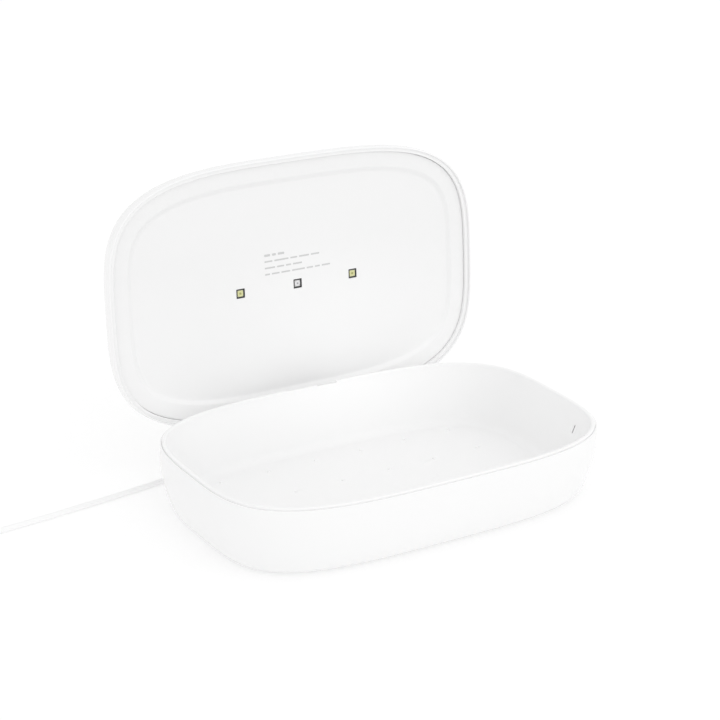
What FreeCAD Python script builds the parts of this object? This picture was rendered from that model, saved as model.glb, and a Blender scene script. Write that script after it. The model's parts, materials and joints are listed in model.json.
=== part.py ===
import FreeCAD, Part
import math
import os
from FreeCAD import Vector

# Toothbrush sanitizer: a hinged box that lights its chamber with ultraviolet LEDs in the lid.
# Millimetres and degrees. +X runs along the length, +Y points to the hinge, +Z is up, and the
# origin is the middle of the foot pad's lower face. Every piece is built with the lid closed,
# and the lid's pieces are then turned about the hinge pin to the open stop.

# Plan outline: a rounded rectangle, |x/a|^n + |y/b|^n = 1, and its insets.
HALF_LENGTH = 110.0
HALF_DEPTH = 69.8
OUTLINE_POWER = 3.5
QUARTER_STEPS = 9

# Base: a barrel-shaped wall with a rounded lower edge.
FOOT_GAP = 0.5
BASE_TOP = 37.0
WIDEST_Z = 31.4
BARREL_INSET = 7.6
LOWER_ROUND = 3.6
WALL = 2.0
FLOOR_TOP = 2.9
RIM_WALL = 0.9
LEDGE_Z = 35.0

# Chamber tray: a straight sloping wall and a flat floor.
LIP_OUTER_INSET = 1.3
LIP_INNER_INSET = 3.1
LIP_TOP = 38.15
TRAY_FLOOR_Z = 7.0
TRAY_FLOOR_THICK = 2.2
TRAY_SLOPE = 0.402
TRAY_WALL = 1.6
TRAY_FILLET = 6.0
NUB_PITCH = 28.0
NUB_RADIUS = 0.8
NUB_HEIGHT = 0.8

# Lid: skirt, quarter-elliptic shoulder and flat top.
PARTING_GAP = 0.5
LID_HEIGHT = 18.2
SHOULDER_START = 4.0
SHOULDER_INSET = 16.5
REBATE_TOP = 1.7
LIP_DEPTH = 2.0
LID_LIP_INSET = 3.2
LINER_INSET = 3.4
LINER_BAND_Z = 3.3
LINER_THICK = 1.5
PANEL_INSET = 11.5
PANEL_SLOPE_RUN = 2.4
PANEL_Z = 4.6
PANEL_CROWN = 1.7
CROWN_SCALES = (1.0, 0.75, 0.5, 0.25)
SNAP_TAB_PLACES = (-50.0, 0.0, 50.0)
SNAP_TAB_HALF_WIDTH = 4.0
SNAP_TAB_THICK = 1.0

# Hinge.
HINGE_Y = 65.3
HINGE_Z = 25.65
OPEN_ANGLE = 95.3
ARM_HALF_WIDTH = 15.0
NOTCH_HALF_WIDTH = 16.8
NOTCH_FLOOR_Z = 19.6
ARM_INNER_Y = 67.75
TRAY_NOTCH_Y = 67.45
KNUCKLE_RADIUS = 2.1
PIN_RADIUS = 0.9
PIN_CLEARANCE = 0.05
PIN_HALF_LENGTH = 23.5
RELIEF_RADIUS = 2.4
CHEEK_INNER_X = 15.3
CHEEK_OUTER_X = 24.0
CHEEK_RADIUS = 2.25
CHEEK_Y = (63.3, 66.2)
BRACKET_RAIL_Y = (61.9, 65.5)
BRACKET_RAIL_TOP = 20.6
BRACKET_FOOT_Y = (60.7, 64.8)
BRACKET_FOOT_X = 34.5

# Lights: three square windows in the lid panel.
LED_PITCH = 34.25
LED_Y = -0.6
LED_SIZE = 3.5
LED_BODY_HEIGHT = 1.0
LED_GLASS_HEIGHT = 0.4
WINDOW_SIZE = 5.4
LAMP_FRAME_HEIGHT = 1.45
LAMP_FRAME_GAP = 0.05
BOARD_THICK = 1.2
BOARD_HALF_LENGTH = 43.0
BOARD_HALF_DEPTH = 6.5
BOARD_STANDOFF = 0.35

# Cord: 3 mm cable from the rear wall along the floor to a coil and a USB plug.
CORD_RADIUS = 1.5
CORD_EXIT_X = 62.0
CORD_EXIT_Z = 9.0
CORD_ROUTE = [
    (62.0, 66.5, 9.0), (62.0, 80.5, 9.0), (58.5, 94.0, 4.2), (45.0, 102.0, 1.5), (21.0, 100.0, 1.5),
    (-10.0, 89.5, 1.5), (-50.0, 77.6, 1.5), (-95.0, 68.2, 1.5), (-139.0, 61.9, 1.5), (-177.0, 57.2, 1.5),
    (-203.0, 55.9, 1.5),
]
COIL_CENTRE = (-209.0, 79.9)
COIL_INNER_RADIUS = 11.2
COIL_OUTER_RADIUS = 25.6
COIL_HEIGHT = 6.2
TAIL_ROUTE = [(-228.6, 66.1, 4.55), (-235.0, 75.2, 4.4), (-240.0, 84.5, 4.2), (-240.0, 95.0, 4.2)]
PLUG_START = (-240.0, 95.0, 4.2)
PLUG_LENGTH = 22.0

# Boards and components, as two opposite corners.
MAIN_BOARD = ((-27.0, 60.2, 4.5), (27.0, 61.2, 13.5))
DRIVER_CHIP = ((4.0, 61.2, 7.0), (9.0, 62.4, 11.5))
POWER_INDUCTOR = ((-12.0, 58.2, 5.2), (-7.0, 60.2, 10.2))
CAPACITOR_SIZE = (1.6, 1.4, 3.2)
CAPACITOR_PLACES = [(x, 61.2, 7.5) for x in (-6.0, -2.0, 14.0)]
SENSOR_BOARD = ((104.3, -31.5, 22.5), (105.1, -24.5, 29.5))
HALL_SENSOR = ((103.4, -29.5, 24.5), (104.3, -26.5, 27.5))
SENSOR_SLOT = ((98.0, -28.5, 25.0), (107.0, -27.5, 29.2))

# Wires inside the box.
SUPPLY_WIRE_RADIUS = 0.7
LAMP_WIRE_RADIUS = 0.6
LAMP_WIRE_X = 3.6

# Foot pad, fasteners and the lid sensor's magnet.
PAD_INSET = 22.0
PAD_THICK = 1.3
TRAY_SCREWS = [(sx * 78.0, sy * 38.0) for sx in (-1, 1) for sy in (-1, 1)]
SCREW_SEAT_Z = 2.1
BRACKET_SCREWS = [(-31.0, 62.9), (31.0, 62.9)]
BRACKET_BOSS_TOP = 14.4
BRACKET_BOSS_RADIUS = 2.3
BRACKET_FOOT_TOP = 17.2
LED_SCREWS = [(-17.0, LED_Y), (17.0, LED_Y)]
SCREW_RADIUS = 0.8
SCREW_HEAD_RADIUS = 1.9
MAGNET = (101.0, -28.0)
MAGNET_RADIUS = 2.2


def outline_point(turn, inset, z):
    """A point of the outline at a turn angle, moved inwards along the outline's normal."""
    c = math.cos(turn)
    s = math.sin(turn)
    size = (abs(c) ** OUTLINE_POWER + abs(s) ** OUTLINE_POWER) ** (-1.0 / OUTLINE_POWER)
    normal = Vector(
        math.copysign(abs(size * c) ** (OUTLINE_POWER - 1.0), c) / HALF_LENGTH,
        math.copysign(abs(size * s) ** (OUTLINE_POWER - 1.0), s) / HALF_DEPTH,
        0.0,
    ).normalize()
    return Vector(HALF_LENGTH * size * c, HALF_DEPTH * size * s, z) - normal * inset


def outline_wire(z, inset, scale=1.0):
    """The closed outline at a height, as four curves that meet tangent to each other."""
    edges = []
    for quarter in range(4):
        start = quarter * math.pi / 2.0
        turns = [start + math.pi / 2.0 * i / QUARTER_STEPS for i in range(QUARTER_STEPS + 1)]
        points = [outline_point(turn, inset, 0.0) * scale + Vector(0, 0, z) for turn in turns]
        curve = Part.BSplineCurve()
        curve.interpolate(
            Points=points,
            InitialTangent=Vector(-math.sin(turns[0]), math.cos(turns[0]), 0.0),
            FinalTangent=Vector(-math.sin(turns[-1]), math.cos(turns[-1]), 0.0),
        )
        edges.append(curve.toShape())
    return Part.Wire(edges)


def stack(sections):
    """A solid through outlines given as (height, inset) pairs, with straight bands between them."""
    return Part.makeLoft([outline_wire(z, inset) for z, inset in sections], True, True)


def prism(low, high, inset):
    """A straight slab of the outline."""
    return stack([(low, inset), (high, inset)])


def crowned_block(inset, edge_z, far_z):
    """A block of the outline whose lower face bulges down from its edge to its middle."""
    sections = [outline_wire(far_z, inset)]
    for scale in CROWN_SCALES:
        sections.append(outline_wire(edge_z - PANEL_CROWN * (1.0 - scale ** 2), inset, scale))
    return Part.makeLoft(sections, True, True)


def box(low, high):
    """A box between two corners."""
    size = [b - a for a, b in zip(low, high)]
    return Part.makeBox(*size, Vector(*low))


def rod(start, end, radius):
    """A cylinder between two points."""
    start = Vector(*start)
    along = Vector(*end) - start
    return Part.makeCylinder(radius, along.Length, start, along)


def tube(route, radius):
    """A round tube along straight runs that meet in tangent arcs, as wide as the runs allow."""
    points = [Vector(*p) for p in route]
    edges = []
    last = points[0]
    for before, corner, after in zip(points, points[1:], points[2:]):
        into = (corner - before).normalize()
        away = (after - corner).normalize()
        half_turn = into.getAngle(away) / 2.0
        reach = 0.45 * min((corner - before).Length, (after - corner).Length)
        bend = reach / math.tan(half_turn)
        start = corner - into * reach
        end = corner + away * reach
        bisector = (away - into).normalize()
        middle = corner + bisector * (bend / math.cos(half_turn) - bend)
        edges.append(Part.LineSegment(last, start).toShape())
        edges.append(Part.Arc(start, middle, end).toShape())
        last = end
    edges.append(Part.LineSegment(last, points[-1]).toShape())
    path = Part.Wire(edges)
    section = Part.Wire(Part.makeCircle(radius, points[0], points[1] - points[0]))
    return path.makePipeShell([section], True, False)


def joined(shapes):
    """Touching solids as one solid."""
    result = shapes[0]
    for shape in shapes[1:]:
        result = result.fuse(shape)
    return result.removeSplitter()


def barrel_inset(z):
    """How far the base's outer wall stands in from the outline."""
    return BARREL_INSET * ((z - WIDEST_Z) / WIDEST_Z) ** 2


def base_sections(bottom, rounding, offset, top):
    """Heights and insets of the barrel wall, with a rounded lower edge."""
    sections = []
    for i in range(5):
        a = math.radians(90.0 * i / 4)
        z = bottom + rounding * (1.0 - math.cos(a))
        sections.append((z, barrel_inset(z) + offset + rounding * (1.0 - math.sin(a))))
    first = bottom + rounding
    for i in range(1, 6):
        z = first + (top - first) * i / 5
        sections.append((z, barrel_inset(z) + offset))
    return sections


def lid_sections(bottom, offset, last_angle):
    """Heights and insets of the lid's skirt and shoulder, thinner by the offset."""
    sections = []
    for h in (bottom, (bottom + SHOULDER_START) / 2.0):
        sections.append((BASE_TOP + h, 0.39 * (1.0 - h / SHOULDER_START) ** 2 + offset))
    rise = LID_HEIGHT - SHOULDER_START - offset
    run = SHOULDER_INSET - offset
    for i in range(7):
        a = math.radians(last_angle * i / 6)
        h = SHOULDER_START + rise * math.sin(a)
        sections.append((BASE_TOP + h, offset + run * (1.0 - math.cos(a))))
    return sections


def tray_inset(z):
    """How far the chamber's wall stands in from the outline."""
    return LIP_INNER_INSET + TRAY_SLOPE * (LIP_TOP - z)


def tray_sections(drop, offset, top):
    """Heights and insets of the chamber's wall, with a rounded lower corner."""
    slope = math.atan(TRAY_SLOPE)
    floor = TRAY_FLOOR_Z - drop
    radius = TRAY_FILLET + drop
    corner = tray_inset(floor) - offset
    setback = radius * math.tan((math.pi / 2.0 - slope) / 2.0)
    centre_inset = corner + setback
    sections = []
    for i in range(5):
        a = (math.pi / 2.0 - slope) * i / 4
        z = floor + radius * (1.0 - math.cos(a))
        sections.append((z, centre_inset - radius * math.sin(a)))
    first = sections[-1][0]
    for i in range(1, 4):
        z = first + (top - first) * i / 3
        sections.append((z, tray_inset(z) - offset))
    return sections


def screw(tip, head_face, head_radius, head_height):
    """A pan-head screw along Z with a cross recess, from its tip to its head's lower face."""
    up = math.copysign(1.0, head_face[2] - tip[2])
    top = (head_face[0], head_face[1], head_face[2] + up * head_height)
    body = joined([rod(tip, head_face, SCREW_RADIUS), rod(head_face, top, head_radius)])
    arm = head_radius * 0.6
    slot = head_radius * 0.14
    deep = sorted((top[2], top[2] - up * head_height * 0.5))
    for across, along in ((arm, slot), (slot, arm)):
        body = body.cut(
            box((tip[0] - across, tip[1] - along, deep[0]), (tip[0] + across, tip[1] + along, deep[1]))
        )
    return body


def base_shell():
    outer = stack(base_sections(FOOT_GAP, LOWER_ROUND, 0.0, BASE_TOP))
    cavity = stack(base_sections(FLOOR_TOP, LOWER_ROUND - 1.0, WALL, LEDGE_Z))
    mouth = prism(LEDGE_Z - 0.01, BASE_TOP + 1.0, RIM_WALL + 0.3)
    shell = outer.cut(cavity).cut(mouth)
    pocket = prism(FOOT_GAP - 1.0, PAD_THICK + 0.05, PAD_INSET - 0.1)
    shell = shell.cut(pocket)
    for x, y in BRACKET_SCREWS:
        boss = rod((x, y, FLOOR_TOP - 0.5), (x, y, BRACKET_BOSS_TOP), BRACKET_BOSS_RADIUS).common(outer)
        shell = shell.fuse(boss).cut(rod((x, y, 8.8), (x, y, 15.0), SCREW_RADIUS))
    for x, y in TRAY_SCREWS:
        shell = shell.cut(rod((x, y, 0.0), (x, y, SCREW_SEAT_Z), 2.0))
        shell = shell.cut(rod((x, y, 0.0), (x, y, 5.0), SCREW_RADIUS + 0.15))
    notch = box((-NOTCH_HALF_WIDTH, 60.0, NOTCH_FLOOR_Z), (NOTCH_HALF_WIDTH, 75.0, BASE_TOP + 2.0))
    shell = shell.cut(notch)
    for x in (-40.8, 40.8):
        shell = shell.cut(box((x - 0.9, 68.2, BASE_TOP - 3.0), (x + 0.9, 72.0, BASE_TOP + 1.0)))
    hole = rod((CORD_EXIT_X, 55.0, CORD_EXIT_Z), (CORD_EXIT_X, 75.0, CORD_EXIT_Z), 2.6)
    return shell.cut(hole)


def chamber_tray():
    wall_top = LEDGE_Z + 0.1
    body = stack(tray_sections(TRAY_FLOOR_THICK, TRAY_WALL, wall_top + 0.6))
    lip = prism(wall_top, LIP_TOP, LIP_OUTER_INSET)
    lip_edges = [e for e in lip.Edges if e.BoundBox.ZMin > LIP_TOP - 0.01]
    lip = lip.makeFillet(0.6, lip_edges)
    hollow = stack(tray_sections(0.0, 0.0, LIP_TOP - 0.8))
    throat_low = tray_inset(LIP_TOP - 0.8)
    throat = stack(
        [(LIP_TOP - 0.8, throat_low), (LIP_TOP - 0.3, throat_low - 0.35), (LIP_TOP + 0.02, throat_low - 1.0)]
    )
    reach = CHEEK_OUTER_X + 0.4
    relief = rod((-reach, HINGE_Y, HINGE_Z), (reach, HINGE_Y, HINGE_Z), RELIEF_RADIUS)
    notch = box((-NOTCH_HALF_WIDTH, TRAY_NOTCH_Y, 30.0), (NOTCH_HALF_WIDTH, 72.0, LIP_TOP + 1.0))
    tray = body.fuse(lip).cut([hollow, throat, relief, notch, box(*SENSOR_SLOT)])
    for x, y in TRAY_SCREWS:
        boss = rod((x, y, FLOOR_TOP + 0.1), (x, y, TRAY_FLOOR_Z - 1.0), 2.6)
        tray = tray.fuse(boss).cut(rod((x, y, 0.0), (x, y, TRAY_FLOOR_Z - 0.8), SCREW_RADIUS))
    nubs = [nub(x, y) for x in grid_places(6) for y in grid_places(4)]
    return tray.multiFuse(nubs)


def grid_places(count):
    """Evenly pitched places about zero."""
    return [NUB_PITCH * (i - (count - 1) / 2.0) for i in range(count)]


def nub(x, y):
    """A small domed support nub on the chamber's floor."""
    sphere_radius = (NUB_RADIUS ** 2 + NUB_HEIGHT ** 2) / (2.0 * NUB_HEIGHT)
    ball = Part.makeSphere(sphere_radius, Vector(x, y, TRAY_FLOOR_Z + NUB_HEIGHT - sphere_radius))
    low = (x - 2.0, y - 2.0, TRAY_FLOOR_Z - 0.3)
    high = (x + 2.0, y + 2.0, TRAY_FLOOR_Z + 2.0)
    return ball.common(box(low, high))


def foot_pad():
    return prism(0.0, PAD_THICK, PAD_INSET)


def base_screws():
    tip = TRAY_FLOOR_Z - 0.9
    return Part.makeCompound(
        [screw((x, y, tip), (x, y, SCREW_SEAT_Z), SCREW_HEAD_RADIUS, 0.7) for x, y in TRAY_SCREWS]
    )


def side_box(side, x_span, y_span, z_span):
    """A box on one side of x = 0, from its spans on the +X side."""
    near, far = sorted(side * x for x in x_span)
    return box((near, y_span[0], z_span[0]), (far, y_span[1], z_span[1]))


def hinge_bracket():
    """A rail under the pin with two cheeks that hold it and two feet on the screw bosses."""
    foot_low = BRACKET_BOSS_TOP + 0.1
    rail_low = (-CHEEK_OUTER_X, BRACKET_RAIL_Y[0], BRACKET_FOOT_TOP)
    rail_high = (CHEEK_OUTER_X, BRACKET_RAIL_Y[1], BRACKET_RAIL_TOP)
    parts = [box(rail_low, rail_high)]
    for side in (-1, 1):
        near = side * CHEEK_INNER_X
        far = side * CHEEK_OUTER_X
        parts.append(rod((near, HINGE_Y, HINGE_Z), (far, HINGE_Y, HINGE_Z), CHEEK_RADIUS))
        parts.append(side_box(side, (CHEEK_INNER_X, CHEEK_OUTER_X), CHEEK_Y, (19.0, HINGE_Z)))
        foot_x = (CHEEK_OUTER_X - 1.0, BRACKET_FOOT_X)
        parts.append(side_box(side, foot_x, BRACKET_FOOT_Y, (foot_low, BRACKET_FOOT_TOP)))
        parts.append(side_box(side, (CHEEK_OUTER_X - 3.0, CHEEK_OUTER_X), BRACKET_FOOT_Y, (15.5, 17.5)))
    reach = PIN_HALF_LENGTH + 1.0
    cuts = [
        box((-40.0, 66.9, 20.0), (40.0, 70.0, 30.0)),
        box((LAMP_WIRE_X - 1.0, 60.0, 17.0), (LAMP_WIRE_X + 1.0, 63.0, 21.0)),
        rod((-reach, HINGE_Y, HINGE_Z), (reach, HINGE_Y, HINGE_Z), PIN_RADIUS),
    ]
    cuts += [rod((x, y, 10.0), (x, y, 20.0), 1.1) for x, y in BRACKET_SCREWS]
    return joined(parts).cut(cuts)


def bracket_screws():
    top = BRACKET_FOOT_TOP
    return Part.makeCompound(
        [screw((x, y, top - 8.0), (x, y, top), SCREW_HEAD_RADIUS, 1.3) for x, y in BRACKET_SCREWS]
    )


def hinge_pin():
    return rod((-PIN_HALF_LENGTH, HINGE_Y, HINGE_Z), (PIN_HALF_LENGTH, HINGE_Y, HINGE_Z), PIN_RADIUS)


def filter_capacitors():
    return Part.makeCompound([Part.makeBox(*CAPACITOR_SIZE, Vector(*corner)) for corner in CAPACITOR_PLACES])


def supply_leads():
    """The cord's two wires, from the inner end of the gland to the board."""
    wires = []
    for z in (CORD_EXIT_Z - 0.9, CORD_EXIT_Z + 0.9):
        route = [(CORD_EXIT_X, 57.7, z), (61.5, 55.6, z), (48.0, 58.0, z), (30.0, 59.2, z), (20.0, 59.45, z)]
        wires.append(tube(route, SUPPLY_WIRE_RADIUS))
    return Part.makeCompound(wires)


def base_lamp_lead():
    x = LAMP_WIRE_X
    return tube([(x, 60.7, 14.1), (x, 62.0, 16.8), (x, 62.1, 20.4)], LAMP_WIRE_RADIUS)


def cord_gland():
    """A tapered strain relief through the rear wall, with a flange inside it."""
    y = 59.0
    sleeve = Part.makeCylinder(2.5, 6.0, Vector(CORD_EXIT_X, y, CORD_EXIT_Z), Vector(0, 1, 0))
    taper = Part.makeCone(2.5, 1.75, 7.1, Vector(CORD_EXIT_X, y + 6.0, CORD_EXIT_Z), Vector(0, 1, 0))
    flange = Part.makeCylinder(3.6, 1.0, Vector(CORD_EXIT_X, y - 1.0, CORD_EXIT_Z), Vector(0, 1, 0))
    bore = rod((CORD_EXIT_X, 66.5, CORD_EXIT_Z), (CORD_EXIT_X, 75.0, CORD_EXIT_Z), CORD_RADIUS)
    return joined([sleeve, taper, flange]).cut(bore)


def lid_shell():
    outer = stack(lid_sections(PARTING_GAP, 0.0, 86.0))
    rebate = prism(BASE_TOP - 1.0, BASE_TOP + REBATE_TOP, 1.15)
    throat = prism(BASE_TOP, BASE_TOP + REBATE_TOP + LIP_DEPTH + 0.1, LID_LIP_INSET)
    inside = lid_sections(REBATE_TOP + LIP_DEPTH, WALL, 86.0)
    shell = outer.cut(rebate).cut(throat).cut(stack(inside))
    return shell.fuse(hinge_arm()).cut(lead_groove())


def hinge_arm():
    """The arm that reaches from the lid's skirt down to the hinge pin."""
    wall = stack(base_sections(FOOT_GAP, LOWER_ROUND, 0.0, BASE_TOP))
    top = BASE_TOP + REBATE_TOP
    skirt = prism(BASE_TOP, top + 0.5, 0.3)
    lower = box((-ARM_HALF_WIDTH, HINGE_Y, HINGE_Z - KNUCKLE_RADIUS), (ARM_HALF_WIDTH, 75.0, HINGE_Z))
    web = box((-ARM_HALF_WIDTH, HINGE_Y, HINGE_Z), (ARM_HALF_WIDTH, 75.0, HINGE_Z + KNUCKLE_RADIUS))
    web = web.fuse(box((-ARM_HALF_WIDTH, HINGE_Y + 1.5, HINGE_Z), (ARM_HALF_WIDTH, 75.0, 32.0)))
    plate = box((-ARM_HALF_WIDTH, ARM_INNER_Y, 30.0), (ARM_HALF_WIDTH, 75.0, top + 0.4))
    arm = lower.fuse(web).fuse(plate).common(wall.fuse(skirt))
    arm = arm.fuse(
        rod((-ARM_HALF_WIDTH, HINGE_Y, HINGE_Z), (ARM_HALF_WIDTH, HINGE_Y, HINGE_Z), KNUCKLE_RADIUS)
    )
    reach = ARM_HALF_WIDTH + 1.0
    bore = rod((-reach, HINGE_Y, HINGE_Z), (reach, HINGE_Y, HINGE_Z), PIN_RADIUS + PIN_CLEARANCE)
    return arm.cut(bore)


def lead_groove():
    """The channel for the lamp lead, up the arm and through the lid's lip."""
    low = LAMP_WIRE_X - 1.0
    high = LAMP_WIRE_X + 1.0
    return box((low, 66.5, 28.2), (high, 69.0, 38.0)).fuse(box((low, 64.5, 37.6), (high, 69.0, 41.0)))


def panel_middle_z():
    """The height of the flat middle of the panel's lower face, where its crown is lowest."""
    return BASE_TOP + PANEL_Z - PANEL_CROWN * (1.0 - CROWN_SCALES[-1] ** 2)


def lid_liner():
    """The lid's inner panel: a flat band, a slope, and a middle that bulges towards the chamber."""
    band = BASE_TOP + LINER_BAND_Z
    edge = BASE_TOP + PANEL_Z
    edge_inset = PANEL_INSET + PANEL_SLOPE_RUN
    back = edge + LINER_THICK
    flange = prism(band, band + LINER_THICK, LINER_INSET)
    pan = stack([(band + 0.2, PANEL_INSET - LINER_THICK), (back, edge_inset - LINER_THICK)])
    hollow = stack([(band - 0.01, PANEL_INSET), (edge, edge_inset)])
    dish = crowned_block(edge_inset + LINER_THICK, back, back + 1.0)
    liner = flange.fuse(pan).cut(hollow).fuse(crowned_block(edge_inset, edge, edge + 0.3)).cut(dish)
    half = WINDOW_SIZE / 2.0
    for x in (-LED_PITCH, 0.0, LED_PITCH):
        liner = liner.cut(box((x - half, LED_Y - half, BASE_TOP), (x + half, LED_Y + half, back)))
    for x, y in LED_SCREWS:
        liner = liner.fuse(rod((x, y, panel_middle_z() + 1.0), (x, y, led_board_z()), 2.4))
        liner = liner.cut(rod((x, y, panel_middle_z() + 0.5), (x, y, back), SCREW_RADIUS))
    for x in SNAP_TAB_PLACES:
        for side in (-1, 1):
            liner = liner.fuse(snap_tab(x, side))
    seat = band + LINER_THICK
    cup = rod((*MAGNET, seat - 0.2), (*MAGNET, seat + 1.4), MAGNET_RADIUS + 0.9)
    liner = liner.fuse(cup.cut(rod((*MAGNET, seat), (*MAGNET, seat + 5.0), MAGNET_RADIUS + 0.1)))
    wire_gap = box((LAMP_WIRE_X - 1.5, 63.2, band - 1.0), (LAMP_WIRE_X + 1.5, 68.0, back))
    return liner.cut(wire_gap)


def snap_tab(x, side):
    """A tab on the liner's back that grips the inner lip of the lid shell."""
    edge = HALF_DEPTH * (1.0 - (abs(x) / HALF_LENGTH) ** OUTLINE_POWER) ** (1.0 / OUTLINE_POWER)
    if x == 0.0 and side > 0:
        x = -9.0
    root = BASE_TOP + LINER_BAND_Z + LINER_THICK - 0.2
    over = BASE_TOP + REBATE_TOP + LIP_DEPTH + 0.15
    y0, y1 = sorted((side * (edge - 8.5), side * (edge - 6.2)))
    h0, h1 = sorted((side * (edge - 8.5), side * (edge - 2.7)))
    left = x - SNAP_TAB_HALF_WIDTH
    right = x + SNAP_TAB_HALF_WIDTH
    stem = box((left, y0, root), (right, y1, over + SNAP_TAB_THICK))
    return stem.fuse(box((left, h0, over), (right, h1, over + SNAP_TAB_THICK)))


def led_board_z():
    """The height of the lamp board's lower face."""
    return panel_middle_z() + LINER_THICK + BOARD_STANDOFF


def led_board():
    z = led_board_z()
    low = (-BOARD_HALF_LENGTH, LED_Y - BOARD_HALF_DEPTH, z)
    high = (BOARD_HALF_LENGTH, LED_Y + BOARD_HALF_DEPTH, z + BOARD_THICK)
    board = box(low, high)
    for x, y in LED_SCREWS:
        board = board.cut(rod((x, y, z - 1.0), (x, y, z + 3.0), 1.1))
    return board


def lamp_block(x, half, top, height):
    """A square block about one lamp's axis, from its top face down."""
    return box((x - half, LED_Y - half, top - height), (x + half, LED_Y + half, top))


def uv_led(x):
    """A square ceramic LED with a glass cover, facing down from the lamp board."""
    z = led_board_z()
    body = lamp_block(x, LED_SIZE / 2.0, z, LED_BODY_HEIGHT)
    glass = lamp_block(x, LED_SIZE / 2.0 - 0.35, z, LED_BODY_HEIGHT + LED_GLASS_HEIGHT)
    return body.fuse(glass).removeSplitter()


def lamp_frames():
    """Black frames that fill the three windows around the LEDs."""
    z = led_board_z()
    frames = []
    for x in (-LED_PITCH, 0.0, LED_PITCH):
        outer = lamp_block(x, WINDOW_SIZE / 2.0 - LAMP_FRAME_GAP, z, LAMP_FRAME_HEIGHT)
        hole = lamp_block(x, LED_SIZE / 2.0 + LAMP_FRAME_GAP, z + 1.0, LAMP_FRAME_HEIGHT + 2.0)
        frames.append(outer.cut(hole))
    return Part.makeCompound(frames)


def led_board_screws():
    z = led_board_z() + BOARD_THICK
    return Part.makeCompound([screw((x, y, z - 2.2), (x, y, z), 1.8, 1.2) for x, y in LED_SCREWS])


def lid_lamp_lead():
    """The lamp's pair of wires, up the arm, through the lip and along the back of the liner."""
    x = LAMP_WIRE_X
    z = led_board_z() + BOARD_THICK + 0.8
    route = [(x, 68.3, 28.6), (x, 68.3, 38.9), (x, 65.4, 41.2), (x, 60.0, z + 0.8), (x, 4.0, z)]
    return tube(route, LAMP_WIRE_RADIUS)


def lid_magnet():
    z = BASE_TOP + LINER_BAND_Z + LINER_THICK
    return rod((*MAGNET, z), (*MAGNET, z + 2.0), MAGNET_RADIUS)


def cord_coil():
    x, y = COIL_CENTRE
    ring = rod((x, y, 0.0), (x, y, COIL_HEIGHT), COIL_OUTER_RADIUS)
    ring = ring.cut(rod((x, y, -1.0), (x, y, COIL_HEIGHT + 1.0), COIL_INNER_RADIUS))
    return ring.makeFillet(1.4, ring.Edges)


def cord_tie():
    """A strap around the coil's turns on the side away from the box."""
    x, y = COIL_CENTRE
    low = (x - 3.0, y + COIL_INNER_RADIUS - 0.7, 0.0)
    high = (x + 3.0, y + COIL_OUTER_RADIUS + 0.7, COIL_HEIGHT + 0.6)
    strap = box(low, high)
    edges = [e for e in strap.Edges if abs(e.tangentAt(e.FirstParameter).x) > 0.9]
    return strap.makeFillet(1.2, edges).cut(cord_coil())


def usb_plug_body():
    x, y, z = PLUG_START
    body = box((x - 6.2, y, z - 4.0), (x + 6.2, y + PLUG_LENGTH, z + 4.0))
    return body.makeFillet(1.5, [e for e in body.Edges if abs(e.tangentAt(e.FirstParameter).y) > 0.9])


def usb_plug_shell():
    x, y, z = PLUG_START
    y += PLUG_LENGTH
    sleeve = box((x - 6.0, y, z - 2.25), (x + 6.0, y + 12.0, z + 2.25))
    return sleeve.cut(box((x - 5.7, y + 0.5, z - 1.95), (x + 5.7, y + 13.0, z + 1.95)))


def usb_plug_tongue():
    x, y, z = PLUG_START
    y += PLUG_LENGTH
    return box((x - 5.6, y + 0.5, z - 1.9), (x + 5.6, y + 11.6, z - 0.2))


BASE_PIECES = {
    "base_shell": base_shell,
    "chamber_tray": chamber_tray,
    "foot_pad": foot_pad,
    "base_screws": base_screws,
    "hinge_bracket": hinge_bracket,
    "bracket_screws": bracket_screws,
    "hinge_pin": hinge_pin,
    "main_board": lambda: box(*MAIN_BOARD),
    "driver_chip": lambda: box(*DRIVER_CHIP),
    "power_inductor": lambda: box(*POWER_INDUCTOR),
    "filter_capacitors": filter_capacitors,
    "supply_leads": supply_leads,
    "base_lamp_lead": base_lamp_lead,
    "sensor_board": lambda: box(*SENSOR_BOARD),
    "hall_sensor": lambda: box(*HALL_SENSOR),
    "cord_gland": cord_gland,
    "cord_run": lambda: tube(CORD_ROUTE, CORD_RADIUS),
    "cord_coil": cord_coil,
    "cord_tail": lambda: tube(TAIL_ROUTE, CORD_RADIUS),
    "cord_tie": cord_tie,
    "usb_plug_body": usb_plug_body,
    "usb_plug_shell": usb_plug_shell,
    "usb_plug_tongue": usb_plug_tongue,
}

LID_PIECES = {
    "lid_shell": lid_shell,
    "lid_liner": lid_liner,
    "led_board": led_board,
    "uv_led_left": lambda: uv_led(-LED_PITCH),
    "uv_led_centre": lambda: uv_led(0.0),
    "uv_led_right": lambda: uv_led(LED_PITCH),
    "lamp_frames": lamp_frames,
    "led_board_screws": led_board_screws,
    "lid_lamp_lead": lid_lamp_lead,
    "lid_magnet": lid_magnet,
}


def main():
    os.makedirs("parts", exist_ok=True)
    for name, make in BASE_PIECES.items():
        make().exportStep("parts/" + name + ".step")
    for name, make in LID_PIECES.items():
        piece = make()
        piece.rotate(Vector(0, HINGE_Y, HINGE_Z), Vector(1, 0, 0), -OPEN_ANGLE)
        piece.exportStep("parts/" + name + ".step")


main()
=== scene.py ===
import json
import math
import bmesh
import bpy
from mathutils import Matrix, Vector
from mathutils.bvhtree import BVHTree


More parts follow.
